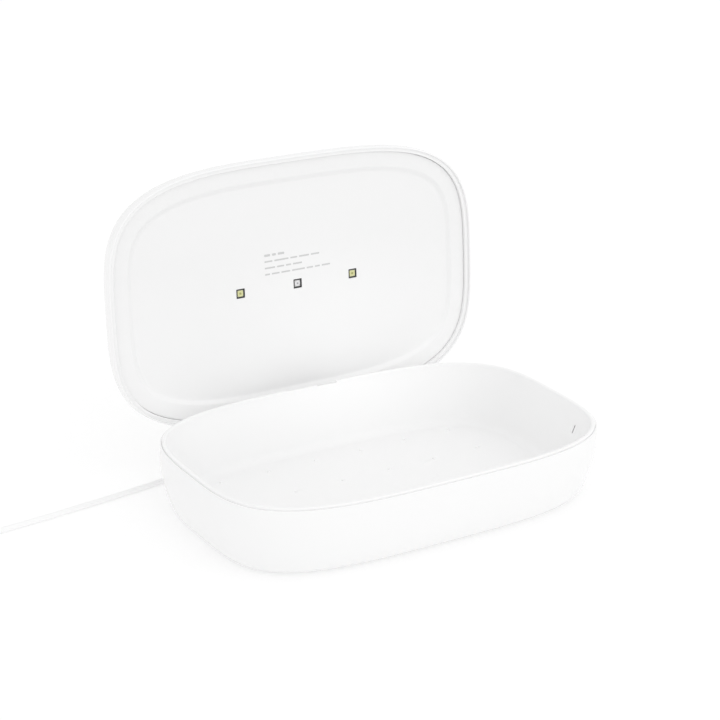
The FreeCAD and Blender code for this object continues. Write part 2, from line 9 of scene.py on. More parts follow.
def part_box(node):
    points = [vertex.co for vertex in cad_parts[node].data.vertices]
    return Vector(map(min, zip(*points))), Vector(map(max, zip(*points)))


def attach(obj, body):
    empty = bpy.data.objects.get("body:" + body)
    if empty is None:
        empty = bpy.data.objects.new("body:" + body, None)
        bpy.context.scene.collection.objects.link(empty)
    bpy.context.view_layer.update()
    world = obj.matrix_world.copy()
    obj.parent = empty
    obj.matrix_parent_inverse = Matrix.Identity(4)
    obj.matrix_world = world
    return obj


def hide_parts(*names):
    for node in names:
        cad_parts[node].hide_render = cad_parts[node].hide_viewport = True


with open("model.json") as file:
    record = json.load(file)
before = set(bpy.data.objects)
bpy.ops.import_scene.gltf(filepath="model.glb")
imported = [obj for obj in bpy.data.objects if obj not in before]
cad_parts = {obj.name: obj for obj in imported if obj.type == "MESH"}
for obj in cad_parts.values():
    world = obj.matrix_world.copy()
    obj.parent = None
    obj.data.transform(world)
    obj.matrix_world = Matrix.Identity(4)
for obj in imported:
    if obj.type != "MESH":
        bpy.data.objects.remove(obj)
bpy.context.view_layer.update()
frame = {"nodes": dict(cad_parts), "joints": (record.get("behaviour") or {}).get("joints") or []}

# Lengths below are in millimetres, and MM turns them into the scene's metres. Lid pieces are
# built closed, like the base, and then turned about the hinge to the open rest position.
MM = 0.001

# The box's outline and heights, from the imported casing.
shell_low, shell_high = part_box("base_shell")
HALF_LENGTH = shell_high.x / MM
HALF_DEPTH = shell_high.y / MM
BASE_TOP = shell_high.z / MM
FOOT_GAP = shell_low.z / MM
OUTLINE_POWER = 3.5
RING_POINTS = 360

# Casing: a barrel-shaped wall.
WIDEST_Z = 31.4
BARREL_INSET = 7.6
LOWER_ROUND = 3.6
WALL = 2.0
LEDGE_Z = 35.0
RIM_ROUND = 0.3
MOUTH_INSET = 1.2
PAD_INSET = 21.9
PAD_TOP = 1.35
NOTCH_HALF_WIDTH = 16.8
NOTCH_FLOOR_Z = 19.6
RIM_SLOT_X = 40.8
RIM_SLOT_HALF_WIDTH = 0.9
RIM_SLOT_DEPTH = 3.0
CUT_PAST = 1.0
CUT_PAST_Y = 72.0

# Chamber tray.
LIP_OUTER_INSET = 1.27
LIP_INNER_INSET = 3.1
LIP_TOP = 38.15
LIP_ROUND = 0.6
TRAY_FLOOR_Z = 7.0
TRAY_FLOOR_THICK = 2.2
TRAY_SLOPE = 0.402
TRAY_WALL = 1.6
TRAY_FILLET = 6.0
NUB_PITCH = 28.0
NUB_RADIUS = 0.8
NUB_HEIGHT = 0.8
TRAY_NOTCH_Y = 67.45
SENSOR_SLOT = ((98.0, -28.5, 25.0), (107.0, -27.5, 29.2))
THROAT_DEPTH = 0.8
LIP_STEP_Y = 65.5
# (start, end, depth) along x of the shallow steps in the lip in front of the hinge arm.
LIP_STEPS = ((-NOTCH_HALF_WIDTH, 1.8, 0.25), (1.8, 13.5, 0.8))

# Lid.
LID_HEIGHT = 18.2
LID_CROWN = 0.5
SHOULDER_START = 4.0
SHOULDER_INSET = 16.5
PARTING_GAP = 0.5
REBATE_INSET = 1.15
REBATE_TOP = 1.7
LIP_DEPTH = 2.0
LID_LIP_INSET = 3.2
LINER_INSET = 3.32
LINER_BAND_Z = 3.3
PANEL_INSET = 11.5
PANEL_SLOPE_RUN = 2.4
PANEL_Z = 4.6
PANEL_CROWN = 1.7
LINER_THICK = 1.5

# Hinge, from the joint.
hinge = frame["joints"][0]
HINGE = Vector(hinge["pos_m"]) / MM
OPEN_ANGLE = math.radians(hinge["range_deg"][1])
ARM_HALF_WIDTH = 15.0
ARM_INNER_Y = 67.75
KNUCKLE_RADIUS = 2.1
KNUCKLE_RELIEF = 2.4
CHEEK_OUTER_X = 24.0
RELIEF_PAST_CHEEK = 0.4

# Lamps.
LED_PITCH = 34.25
LED_Y = -0.6
LED_SIZE = 3.5
WINDOW_SIZE = 5.1
LAMP_FRAME_HEIGHT = 1.4
LAMP_FRAME_GAP = 0.05
LAMP_RECESS = 0.25
DIE_HALF_WIDTH = 0.5

# Cord.
CORD_RADIUS = 1.5
CORD_ROUTE = [
    (62.0, 66.5, 9.0), (62.0, 80.5, 9.0), (58.5, 94.0, 4.2), (45.0, 102.0, 1.5), (21.0, 100.0, 1.5),
    (-10.0, 89.5, 1.5), (-50.0, 77.6, 1.5), (-95.0, 68.2, 1.5), (-139.0, 61.9, 1.5), (-177.0, 57.2, 1.5),
    (-203.0, 55.9, 1.5),
]
COIL_CENTRE = (-209.0, 79.9)
COIL_START_RADIUS = 24.0
COIL_END_RADIUS = 12.7
COIL_PITCH = 3.13
COIL_LAYER = 3.05
COIL_POINTS_PER_TURN = 24
TAIL_ROUTE = [(-235.0, 75.2, 4.4), (-240.0, 84.5, 4.2), (-240.0, 95.0, 4.2)]
PLUG_START = (-240.0, 95.0, 4.2)
PLUG_LENGTH = 22.0

# Plug: (distance, half width, half height) along the grip, then its ribs, sleeve and tongue.
GRIP_RINGS = (
    (0.0, 2.4, 2.2), (0.5, 3.2, 2.8), (1.6, 4.6, 3.4), (3.4, 5.7, 3.8), (6.0, 6.1, 3.95),
    (14.0, 6.15, 3.97), (20.0, 6.2, 4.0), (21.4, 6.2, 4.0), (22.0, 5.9, 3.7),
)
GRIP_POINTS = 64
GRIP_POWER = 4.5
RIB_START = 7.0
RIB_PITCH = 1.8
RIB_WIDTH = 0.7
NECK_LENGTH = 8.0
SLEEVE_LENGTH = 12.0
SLEEVE_HOLE_OFFSET = 2.9
SLEEVE_HOLE_WIDTH = 2.2
TONGUE_LENGTH = 11.1
CONTACT_PLACES = (-3.5, -1.0, 1.0, 3.5)
LONG_CONTACT = 8.9
SHORT_CONTACT = 7.9

# Camera, in metres, and light, in watts. ROOM_LIGHT is the room's strength on its dark and bright sides.
CAMERA_PLACE = (-0.507858, -0.786533, 0.441727)
CAMERA_AIM = (0.49532, 0.78859, -0.36439)
CAMERA_LENS = 100.65
CAMERA_ROLL = 1.138
BRIGHT_SIDE = (0.15, -0.97, 0.2)
ROOM_LIGHT = (0.885, 1.135)
KEY_POWER = 0.8
FILL_PLACE = (-0.3, -1.2, 0.9)
FILL_POWER = 3.0
HINGE_FILL_POWER = 8.0
FLOOR_GLOW = 0.455
FLOOR_RADIUS = 20000.0

closed_to_open = (
    Matrix.Translation(HINGE * MM)
    @ Matrix.Rotation(-OPEN_ANGLE, 4, "X")
    @ Matrix.Translation(-HINGE * MM)
)


# ---------------------------------------------------------------- mesh helpers

def outline_point(turn, inset, z):
    """A point of the box's outline at a turn angle, moved inwards along the outline's normal."""
    c = math.cos(turn)
    s = math.sin(turn)
    size = (abs(c) ** OUTLINE_POWER + abs(s) ** OUTLINE_POWER) ** (-1.0 / OUTLINE_POWER)
    normal = Vector((
        math.copysign(abs(size * c) ** (OUTLINE_POWER - 1.0), c) / HALF_LENGTH,
        math.copysign(abs(size * s) ** (OUTLINE_POWER - 1.0), s) / HALF_DEPTH,
        0.0,
    )).normalized()
    return Vector((HALF_LENGTH * size * c, HALF_DEPTH * size * s, z)) - normal * inset


def outline_ring(inset, z):
    """The outline as a closed ring of points."""
    return [outline_point(2.0 * math.pi * i / RING_POINTS, inset, z) for i in range(RING_POINTS)]


def arc(inset, z, radius, start, end, steps=6):
    """(inset, height) pairs along an arc, with angles in degrees from the direction of growing inset."""
    pairs = []
    for i in range(steps + 1):
        a = math.radians(start + (end - start) * i / steps)
        pairs.append((inset + radius * math.cos(a), z + radius * math.sin(a)))
    return pairs


def dome_rings(inset, edge_z, rise, steps):
    """Rings from a ring's edge in to its middle, rising by rise on the way."""
    edge = outline_ring(inset, edge_z)
    rings = []
    for i in range(1, steps):
        s = 1.0 - i / steps
        z = edge_z + rise * (1.0 - s * s)
        rings.append([Vector((p.x * s, p.y * s, z)) for p in edge])
    return rings, Vector((0.0, 0.0, edge_z + rise))


def new_object(name, bm, material, sharp=32.0):
    """An object from a bmesh in millimetres, smooth except where its faces meet at a sharp angle."""
    bmesh.ops.recalc_face_normals(bm, faces=bm.faces)
    bmesh.ops.scale(bm, vec=(MM, MM, MM), verts=bm.verts)
    mesh = bpy.data.meshes.new(name)
    bm.to_mesh(mesh)
    bm.free()
    mesh.polygons.foreach_set("use_smooth", [True] * len(mesh.polygons))
    mesh.set_sharp_from_angle(angle=math.radians(sharp))
    mesh.materials.append(material)
    obj = bpy.data.objects.new(name, mesh)
    bpy.context.scene.collection.objects.link(obj)
    return obj


def bridge(bm, first, second):
    """Quads between two rings of vertices."""
    count = len(first)
    for i in range(count):
        j = (i + 1) % count
        bm.faces.new((first[i], first[j], second[j], second[i]))


def fan(bm, ring, point):
    """Triangles from a ring to a point."""
    middle = bm.verts.new(point)
    for i in range(len(ring)):
        bm.faces.new((ring[i], ring[(i + 1) % len(ring)], middle))


def skin(rings, first_point, last_point):
    """A closed bmesh through rings of points, with a point in the middle of each end."""
    bm = bmesh.new()
    layers = [[bm.verts.new(p) for p in ring] for ring in rings]
    for lower, upper in zip(layers, layers[1:]):
        bridge(bm, lower, upper)
    fan(bm, layers[0], first_point)
    fan(bm, layers[-1], last_point)
    return bm


def rings_of(pairs):
    """A ring of the outline for each (inset, height) pair."""
    return [outline_ring(inset, z) for inset, z in pairs]


def box_mesh(bm, low, high):
    """Adds a box between two corners."""
    middle = (Vector(low) + Vector(high)) / 2.0
    size = Vector(high) - Vector(low)
    matrix = Matrix.Translation(middle) @ Matrix.Diagonal((*size, 1.0))
    return bmesh.ops.create_cube(bm, size=1.0, matrix=matrix)["verts"]


def rounded_box(bm, low, high, radius, segments=3):
    """Adds a box with rounded edges."""
    verts = box_mesh(bm, low, high)
    edges = list({e for v in verts for e in v.link_edges})
    bmesh.ops.bevel(bm, geom=edges, offset=radius, segments=segments, affect="EDGES", profile=0.5)


def rounded_prism(bm, half_x, half_y, low_z, high_z, corner, centre=(0.0, 0.0), steps=6):
    """Adds an upright prism with round vertical edges."""
    outline = []
    for k, (sx, sy) in enumerate(((1, 1), (-1, 1), (-1, -1), (1, -1))):
        for i in range(steps + 1):
            a = math.radians(90.0 * (k + i / steps))
            x = centre[0] + sx * (half_x - corner) + corner * math.cos(a)
            y = centre[1] + sy * (half_y - corner) + corner * math.sin(a)
            outline.append((x, y))
    low = [bm.verts.new((x, y, low_z)) for x, y in outline]
    high = [bm.verts.new((x, y, high_z)) for x, y in outline]
    bridge(bm, low, high)
    bm.faces.new(low)
    bm.faces.new(high)
    return low + high


def turned(bm, profile, start, along, points=48):
    """Adds a round closed body from (distance, radius) pairs along an axis, closed at both ends."""
    along = Vector(along).normalized()
    side = along.orthogonal().normalized()
    other = along.cross(side)
    layers = []
    for distance, radius in profile:
        centre = Vector(start) + along * distance
        ring = []
        for i in range(points):
            a = 2.0 * math.pi * i / points
            ring.append(bm.verts.new(centre + (side * math.cos(a) + other * math.sin(a)) * radius))
        layers.append(ring)
    for lower, upper in zip(layers, layers[1:]):
        bridge(bm, lower, upper)
    bm.faces.new(layers[0])
    bm.faces.new(layers[-1])


def combine(obj, tool_bm, operation):
    """Cuts a closed bmesh in millimetres from an object, or adds it."""
    tool = new_object("tool", tool_bm, obj.data.materials[0])
    modifier = obj.modifiers.new("combine", "BOOLEAN")
    modifier.operation = operation
    modifier.solver = "EXACT"
    modifier.object = tool
    graph = bpy.context.evaluated_depsgraph_get()
    mesh = bpy.data.meshes.new_from_object(obj.evaluated_get(graph))
    obj.modifiers.clear()
    obj.data = mesh
    bpy.data.objects.remove(tool)
    mesh.polygons.foreach_set("use_smooth", [True] * len(mesh.polygons))
    mesh.set_sharp_from_angle(angle=math.radians(32.0))
    return obj


def place(obj, body, slot, *nodes):
    """Puts a finished piece on its body, in the open position if it is on the lid."""
    if body == "lid":
        obj.data.transform(closed_to_open)
    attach(obj, body)
    if nodes:
        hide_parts(*nodes)
    return obj


# ---------------------------------------------------------------- materials

def new_material(name):
    """A material with its node tree and its shader."""
    material = bpy.data.materials.new(name)
    material.use_nodes = True
    shader = material.node_tree.nodes["Principled BSDF"]
    return material, material.node_tree, shader


def noise(tree, scale, detail=2.0, stretch=(1.0, 1.0, 1.0)):
    """A noise in the piece's own coordinates, with its scale per metre."""
    place_node = tree.nodes.new("ShaderNodeTexCoord")
    mapping = tree.nodes.new("ShaderNodeMapping")
    mapping.inputs["Scale"].default_value = stretch
    texture = tree.nodes.new("ShaderNodeTexNoise")
    texture.inputs["Scale"].default_value = scale
    texture.inputs["Detail"].default_value = detail
    tree.links.new(place_node.outputs["Object"], mapping.inputs["Vector"])
    tree.links.new(mapping.outputs["Vector"], texture.inputs["Vector"])
    return texture.outputs["Fac"]


def spread(tree, value, low, high):
    """A noise value spread between two numbers."""
    node = tree.nodes.new("ShaderNodeMapRange")
    node.inputs["From Min"].default_value = 0.0
    node.inputs["From Max"].default_value = 1.0
    node.inputs["To Min"].default_value = low
    node.inputs["To Max"].default_value = high
    tree.links.new(value, node.inputs["Value"])
    return node.outputs["Result"]


def tinted(tree, value, dark, light):
    """A colour between two by a noise value."""
    ramp = tree.nodes.new("ShaderNodeValToRGB")
    ramp.color_ramp.elements[0].position = 0.35
    ramp.color_ramp.elements[1].position = 0.65
    ramp.color_ramp.elements[0].color = (*dark, 1.0)
    ramp.color_ramp.elements[1].color = (*light, 1.0)
    tree.links.new(value, ramp.inputs["Fac"])
    return ramp.outputs["Color"]


def bumped(tree, shader, heights):
    """Bumps from (value, strength, distance in metres), one on top of the other."""
    last = None
    for value, strength, distance in heights:
        bump = tree.nodes.new("ShaderNodeBump")
        bump.inputs["Strength"].default_value = strength
        bump.inputs["Distance"].default_value = distance
        tree.links.new(value, bump.inputs["Height"])
        if last is not None:
            tree.links.new(last, bump.inputs["Normal"])
        last = bump.outputs["Normal"]
    tree.links.new(last, shader.inputs["Normal"])


def moulded(name, light, roughness, peel=0.01, grain=0.0, shade=0.992):
    """Moulded plastic: a faint orange peel, slow flow marks, and an uneven gloss."""
    material, tree, shader = new_material(name)
    dark = [c * shade for c in light]
    tree.links.new(tinted(tree, noise(tree, 9.0, 0.0), dark, light), shader.inputs["Base Color"])
    tree.links.new(spread(tree, noise(tree, 40.0, 1.0), roughness - 0.04, roughness + 0.04),
                   shader.inputs["Roughness"])
    heights = [(noise(tree, 420.0, 2.0), peel, 0.00004)]
    if grain > 0.0:
        heights.append((noise(tree, 4200.0, 3.0), grain, 0.00003))
    bumped(tree, shader, heights)
    return material


def rubber(name, colour):
    """Silicone with a matte, slightly dusty surface and fine pits."""
    material, tree, shader = new_material(name)
    pale = [min(1.0, c * 1.12) for c in colour]
    tree.links.new(tinted(tree, noise(tree, 160.0, 6.0), colour, pale), shader.inputs["Base Color"])
    tree.links.new(spread(tree, noise(tree, 300.0, 3.0), 0.62, 0.8), shader.inputs["Roughness"])
    bumped(tree, shader, [(noise(tree, 2500.0, 4.0), 0.25, 0.00005)])
    return material


def metal(name, colour, roughness, stretch):
    """Metal with fine drawn lines along one direction."""
    material, tree, shader = new_material(name)
    shader.inputs["Metallic"].default_value = 1.0
    dark = [c * 0.85 for c in colour]
    lines = noise(tree, 900.0, 3.0, stretch)
    tree.links.new(tinted(tree, lines, dark, colour), shader.inputs["Base Color"])
    tree.links.new(spread(tree, lines, roughness, roughness + 0.12), shader.inputs["Roughness"])
    bumped(tree, shader, [(lines, 0.08, 0.00002)])
    return material


def speckled(name, dark, light, scale, roughness):
    """A small part with a fine mottled surface, such as a chip, a ceramic body or a board."""
    material, tree, shader = new_material(name)
    tree.links.new(tinted(tree, noise(tree, scale, 5.0), dark, light), shader.inputs["Base Color"])
    tree.links.new(spread(tree, noise(tree, scale * 0.4, 2.0), roughness, roughness + 0.1),
                   shader.inputs["Roughness"])
    bumped(tree, shader, [(noise(tree, scale * 1.7, 3.0), 0.12, 0.00002)])
    return material


def phosphor(name, edge, middle):
    """A lamp's soft gel: a tone that varies at random between two colours, with fine grains."""
    material, tree, shader = new_material(name)
    tree.links.new(tinted(tree, noise(tree, 3800.0, 4.0), edge, middle), shader.inputs["Base Color"])
    shader.inputs["Roughness"].default_value = 0.22
    shader.inputs["Coat Weight"].default_value = 0.5
    bumped(tree, shader, [(noise(tree, 5000.0, 2.0), 0.1, 0.00001)])
    return material


def shade_lifted(name, low_z, high_z, lifted_tone, high_edge_tone, roughness):
    """Moulded plastic painted lighter towards low_z and darker towards high_z: painted light that lifts the
    shade falling on the piece's lower part.
    """
    material = moulded(name, lifted_tone, roughness)
    tree = material.node_tree
    place_node = tree.nodes.new("ShaderNodeTexCoord")
    split = tree.nodes.new("ShaderNodeSeparateXYZ")
    # The tone by height is painted light, lighter where shade falls low on the piece, not a change in the
    # plastic.
    painted_lift = tree.nodes.new("ShaderNodeMapRange")
    painted_lift.inputs["From Min"].default_value = low_z * MM
    painted_lift.inputs["From Max"].default_value = high_z * MM
    painted_lift.inputs["To Min"].default_value = 0.35
    painted_lift.inputs["To Max"].default_value = 0.65
    tree.links.new(place_node.outputs["Object"], split.inputs["Vector"])
    tree.links.new(split.outputs["Z"], painted_lift.inputs["Value"])
    shader = tree.nodes["Principled BSDF"]
    tree.links.new(tinted(tree, painted_lift.outputs["Result"], lifted_tone, high_edge_tone), shader.inputs["Base Color"])
    return material


WHITE = (0.9, 0.9, 0.9)
casing_white = moulded("casing_white", WHITE, 0.2)
tray_white = moulded("tray_white", (0.912, 0.912, 0.912), 0.33)
# The liner is painted lighter towards its lower part near the hinge: painted light that lifts the shade the
# base casts there.
liner_white = shade_lifted("liner_white", 30.0, 110.0, (0.912, 0.912, 0.912), (0.853, 0.853, 0.853), 0.33)
bracket_white = moulded("bracket_white", (0.86, 0.86, 0.86), 0.42, grain=0.1)
cord_white = moulded("cord_white", (0.92, 0.92, 0.92), 0.38, peel=0.1, grain=0.08)
tie_white = moulded("tie_white", (0.88, 0.88, 0.88), 0.5, grain=0.2)
print_grey = speckled("print_grey", (0.56, 0.56, 0.56), (0.64, 0.64, 0.64), 3000.0, 0.55)
pad_grey = rubber("pad_grey", (0.42, 0.42, 0.43))
steel = metal("steel", (0.72, 0.72, 0.73), 0.22, (1.0, 0.05, 1.0))
pin_steel = metal("pin_steel", (0.74, 0.74, 0.75), 0.15, (0.05, 1.0, 1.0))
nickel = metal("nickel", (0.8, 0.79, 0.77), 0.12, (1.0, 1.0, 1.0))
gold = metal("gold", (0.9, 0.68, 0.32), 0.2, (1.0, 0.1, 1.0))
board_green = speckled("board_green", (0.02, 0.14, 0.05), (0.035, 0.2, 0.08), 1500.0, 0.35)
board_black = speckled("board_black", (0.012, 0.012, 0.013), (0.025, 0.025, 0.027), 1800.0, 0.4)
frame_black = speckled("frame_black", (0.02, 0.02, 0.021), (0.04, 0.04, 0.042), 2500.0, 0.5)
chip_black = speckled("chip_black", (0.02, 0.02, 0.02), (0.05, 0.05, 0.05), 2600.0, 0.5)
ferrite = speckled("ferrite", (0.1, 0.1, 0.105), (0.19, 0.19, 0.2), 2200.0, 0.55)
capacitor_tan = speckled("capacitor_tan", (0.45, 0.33, 0.2), (0.6, 0.46, 0.3), 2400.0, 0.4)
ceramic = speckled("ceramic", (0.55, 0.55, 0.54), (0.7, 0.7, 0.69), 2600.0, 0.4)
gel_yellow = phosphor("gel_yellow", (0.62, 0.62, 0.28), (0.72, 0.72, 0.4))
gel_grey = phosphor("gel_grey", (0.68, 0.68, 0.69), (0.8, 0.8, 0.81))
chip_yellow = speckled("chip_yellow", (0.3, 0.3, 0.1), (0.42, 0.42, 0.16), 5000.0, 0.3)
chip_grey = speckled("chip_grey", (0.3, 0.3, 0.31), (0.42, 0.42, 0.43), 5000.0, 0.3)


# ---------------------------------------------------------------- base

def barrel_inset(z):
    """How far the casing's wall stands in from the widest outline."""
    return BARREL_INSET * ((z - WIDEST_Z) / WIDEST_Z) ** 2


def barrel_wall(bottom, rounding, offset, top, steps):
    """(inset, height) pairs up the barrel wall, from its rounded lower edge."""
    pairs = []
    for i in range(11):
        a = math.radians(9.0 * i)
        z = bottom + rounding * (1.0 - math.cos(a))
        pairs.append((barrel_inset(z) + offset + rounding * (1.0 - math.sin(a)), z))
    first = bottom + rounding
    for i in range(1, steps + 1):
        z = first + (top - first) * i / steps
        pairs.append((barrel_inset(z) + offset, z))
    return pairs


def make_casing():
    """The outer shell of the base, with its rim, its ledge for the tray and the hinge's notch."""
    edge = barrel_inset(BASE_TOP)
    pairs = [(PAD_INSET, PAD_TOP), (PAD_INSET, FOOT_GAP + 0.2)]
    pairs += arc(PAD_INSET - 0.2, FOOT_GAP + 0.2, 0.2, 0.0, -90.0, 3)
    pairs += barrel_wall(FOOT_GAP, LOWER_ROUND, 0.0, BASE_TOP - RIM_ROUND, 28)
    pairs += arc(edge + RIM_ROUND, BASE_TOP - RIM_ROUND, RIM_ROUND, 162.0, 90.0, 4)
    pairs += arc(MOUTH_INSET - 0.15, BASE_TOP - 0.15, 0.15, 90.0, 0.0, 3)
    pairs += [(MOUTH_INSET, LEDGE_Z)]
    pairs += reversed(barrel_wall(FOOT_GAP + 2.4, LOWER_ROUND - 1.0, WALL, LEDGE_Z, 12))
    bm = skin(rings_of(pairs), (0.0, 0.0, PAD_TOP), (0.0, 0.0, FOOT_GAP + 2.4))
    casing = new_object("casing", bm, casing_white)
    cuts = bmesh.new()
    notch = rounded_prism(cuts, NOTCH_HALF_WIDTH, 12.0, -70.0, -60.0, 1.2, (0.0, NOTCH_FLOOR_Z + 12.0))
    upright = Matrix.Rotation(math.radians(90.0), 3, "X")
    bmesh.ops.rotate(cuts, verts=notch, cent=(0.0, 0.0, 0.0), matrix=upright)
    for x in (-RIM_SLOT_X, RIM_SLOT_X):
        low = (x - RIM_SLOT_HALF_WIDTH, 68.2, BASE_TOP - RIM_SLOT_DEPTH)
        box_mesh(cuts, low, (x + RIM_SLOT_HALF_WIDTH, CUT_PAST_Y, BASE_TOP + CUT_PAST))
    combine(casing, cuts, "DIFFERENCE")
    place(casing, "base", "gloss_white", "base_shell")


def tray_inset(z):
    """How far the chamber's wall stands in from the outline."""
    return LIP_INNER_INSET + TRAY_SLOPE * (LIP_TOP - z)


def tray_wall(drop, offset, top):
    """(inset, height) pairs up the chamber's wall, from the rounded corner at the floor."""
    slope = math.atan(TRAY_SLOPE)
    floor = TRAY_FLOOR_Z - drop
    radius = TRAY_FILLET + drop
    setback = radius * math.tan((math.pi / 2.0 - slope) / 2.0)
    centre = tray_inset(floor) - offset + setback
    pairs = []
    for i in range(13):
        a = (math.pi / 2.0 - slope) * i / 12
        pairs.append((centre - radius * math.sin(a), floor + radius * (1.0 - math.cos(a))))
    first = pairs[-1][1]
    for i in range(1, 9):
        z = first + (top - first) * i / 8
        pairs.append((tray_inset(z) - offset, z))
    return pairs


def grid_places(count):
    """Evenly pitched places about zero."""
    return [NUB_PITCH * (i - (count - 1) / 2.0) for i in range(count)]


def nub_profile():
    """(distance, radius) pairs of a small dome, from inside the floor to its top."""
    pairs = [(-0.4, NUB_RADIUS + 0.25), (0.0, NUB_RADIUS + 0.25), (0.06, NUB_RADIUS + 0.08)]
    for i in range(6):
        a = math.radians(15.0 + 14.0 * i)
        pairs.append((NUB_HEIGHT * math.sin(a), NUB_RADIUS * math.cos(a)))
    return pairs


def make_tray():
    """The chamber: floor, sloping wall and the round lip that stands above the casing's rim."""
    throat_z = LIP_TOP - THROAT_DEPTH
    throat = tray_inset(throat_z)
    crest = throat - 1.12
    pairs = tray_wall(0.0, 0.0, throat_z)
    for i in range(1, 7):
        a = math.radians(15.0 * i)
        inset = throat - (throat - crest) * (1.0 - math.cos(a))
        pairs.append((inset, throat_z + THROAT_DEPTH * math.sin(a)))
    pairs += arc(LIP_OUTER_INSET + LIP_ROUND, LIP_TOP - LIP_ROUND, LIP_ROUND, 90.0, 180.0, 8)
    pairs += [(LIP_OUTER_INSET, LEDGE_Z + 0.15)]
    pairs += reversed(tray_wall(TRAY_FLOOR_THICK, TRAY_WALL, LEDGE_Z + 0.15))
    low = TRAY_FLOOR_Z - TRAY_FLOOR_THICK
    inner, middle = dome_rings(pairs[0][0], TRAY_FLOOR_Z, 0.0, 8)
    bm = skin(list(reversed(inner)) + rings_of(pairs), middle, (0.0, 0.0, low))
    tray = new_object("chamber", bm, tray_white)
    cuts = bmesh.new()
    past_top = LIP_TOP + CUT_PAST
    box_mesh(cuts, (-NOTCH_HALF_WIDTH, TRAY_NOTCH_Y, 30.0), (NOTCH_HALF_WIDTH, CUT_PAST_Y, past_top))
    box_mesh(cuts, *SENSOR_SLOT)
    reach = CHEEK_OUTER_X + RELIEF_PAST_CHEEK
    knuckle = [(-reach, KNUCKLE_RELIEF), (reach, KNUCKLE_RELIEF)]
    turned(cuts, knuckle, (0.0, HINGE.y, HINGE.z), (1.0, 0.0, 0.0), 64)
    combine(tray, cuts, "DIFFERENCE")
    for start, end, depth in LIP_STEPS:
        step = bmesh.new()
        box_mesh(step, (start, LIP_STEP_Y, LIP_TOP - depth), (end, CUT_PAST_Y, past_top))
        combine(tray, step, "DIFFERENCE")
    nubs = bmesh.new()
    for x in grid_places(6):
        for y in grid_places(4):
            turned(nubs, nub_profile(), (x, y, TRAY_FLOOR_Z), (0.0, 0.0, 1.0), 20)
    combine(tray, nubs, "UNION")
    place(tray, "base", "chamber_white", "chamber_tray")


def make_foot_pad():
    """The silicone sheet that the box stands on, with rounded edges."""
    edge = PAD_INSET + 0.1
    pairs = arc(edge + 0.35, 0.35, 0.35, 270.0, 180.0, 4) + arc(edge + 0.2, 1.1, 0.2, 180.0, 90.0, 3)
    pad = new_object("foot_sheet", skin(rings_of(pairs), (0.0, 0.0, 0.0), (0.0, 0.0, 1.3)), pad_grey)
    place(pad, "base", "grey_silicone", "foot_pad")


# ---------------------------------------------------------------- lid

def lid_outer():
    """(inset, height) pairs of the lid's outside, from the shoulder's top down to the rim."""
    pairs = []
    rise = LID_HEIGHT - LID_CROWN - SHOULDER_START
    for i in range(25):
        a = math.radians(90.0 - 3.75 * i)
        inset = SHOULDER_INSET * (1.0 - math.cos(a))
        pairs.append((inset, BASE_TOP + SHOULDER_START + rise * math.sin(a)))
    low = PARTING_GAP + RIM_ROUND
    for i in range(1, 5):
        h = SHOULDER_START + (low - SHOULDER_START) * i / 4
        pairs.append((0.39 * (1.0 - h / SHOULDER_START) ** 2, BASE_TOP + h))
    return pairs


def lid_inner():
    """(inset, height) pairs of the lid's inside, from the step behind its lip up to the top."""
    pairs = []
    rise = LID_HEIGHT - SHOULDER_START - WALL
    for i in range(13):
        a = math.radians(7.5 * i)
        inset = WALL + (SHOULDER_INSET - WALL) * (1.0 - math.cos(a))
        pairs.append((inset, BASE_TOP + SHOULDER_START + rise * math.sin(a)))
    return pairs


def arm_outline():
    """(y, z) points around the hinge arm's section, closed lid."""
    points = []
    for i in range(19):
        a = math.radians(44.4 + 12.53 * i)
        y = HINGE.y + KNUCKLE_RADIUS * math.cos(a)
        points.append((y, HINGE.z + KNUCKLE_RADIUS * math.sin(a)))
    low = HINGE.z - KNUCKLE_RADIUS
    for i in range(9):
        z = low + (BASE_TOP - low) * i / 8
        points.append((HALF_DEPTH - barrel_inset(z), z))
    top = BASE_TOP + REBATE_TOP + 0.6
    points += [(HALF_DEPTH - 0.35, BASE_TOP + 0.8), (HALF_DEPTH - 0.6, top), (ARM_INNER_Y, top)]
    points += [(ARM_INNER_Y, 33.0), (ARM_INNER_Y - 0.3, 32.3), (ARM_INNER_Y - 0.95, 32.0)]
    return points


def arm_mesh():
    """The hinge arm: its section drawn out along the pin, with softened ends."""
    bm = bmesh.new()
    ends = []
    for x in (-ARM_HALF_WIDTH, ARM_HALF_WIDTH):
        ends.append([bm.verts.new((x, y, z)) for y, z in arm_outline()])
    bridge(bm, *ends)
    faces = [bm.faces.new(ring) for ring in ends]
    rims = [e for face in faces for e in face.edges]
    bmesh.ops.bevel(bm, geom=rims, offset=0.25, segments=3, affect="EDGES", profile=0.5)
    bmesh.ops.recalc_face_normals(bm, faces=bm.faces)
    return bm


def make_lid_cover():
    """The lid's outer shell with its rim, its inner lip and the hinge arm."""
    ledge = BASE_TOP + REBATE_TOP
    rim = BASE_TOP + PARTING_GAP
    back = ledge + LIP_DEPTH + 0.1
    crown, middle = dome_rings(SHOULDER_INSET, BASE_TOP + LID_HEIGHT - LID_CROWN, LID_CROWN, 24)
    pairs = lid_outer()
    edge = pairs[-1][0]
    pairs += arc(edge + RIM_ROUND, rim + RIM_ROUND, RIM_ROUND, 198.0, 270.0, 4)
    pairs += arc(REBATE_INSET - 0.15, rim + 0.15, 0.15, 270.0, 360.0, 3)
    pairs += [(REBATE_INSET, ledge)]
    pairs += arc(LID_LIP_INSET - 0.3, ledge + 0.3, 0.3, 270.0, 360.0, 4)
    pairs += [(LID_LIP_INSET, back)]
    pairs += lid_inner()
    rings = list(reversed(crown)) + rings_of(pairs)
    ceiling = (0.0, 0.0, BASE_TOP + LID_HEIGHT - WALL)
    cover = new_object("lid_cover", skin(rings, middle, ceiling), casing_white)
    combine(cover, arm_mesh(), "UNION")
    place(cover, "lid", "gloss_white", "lid_shell")


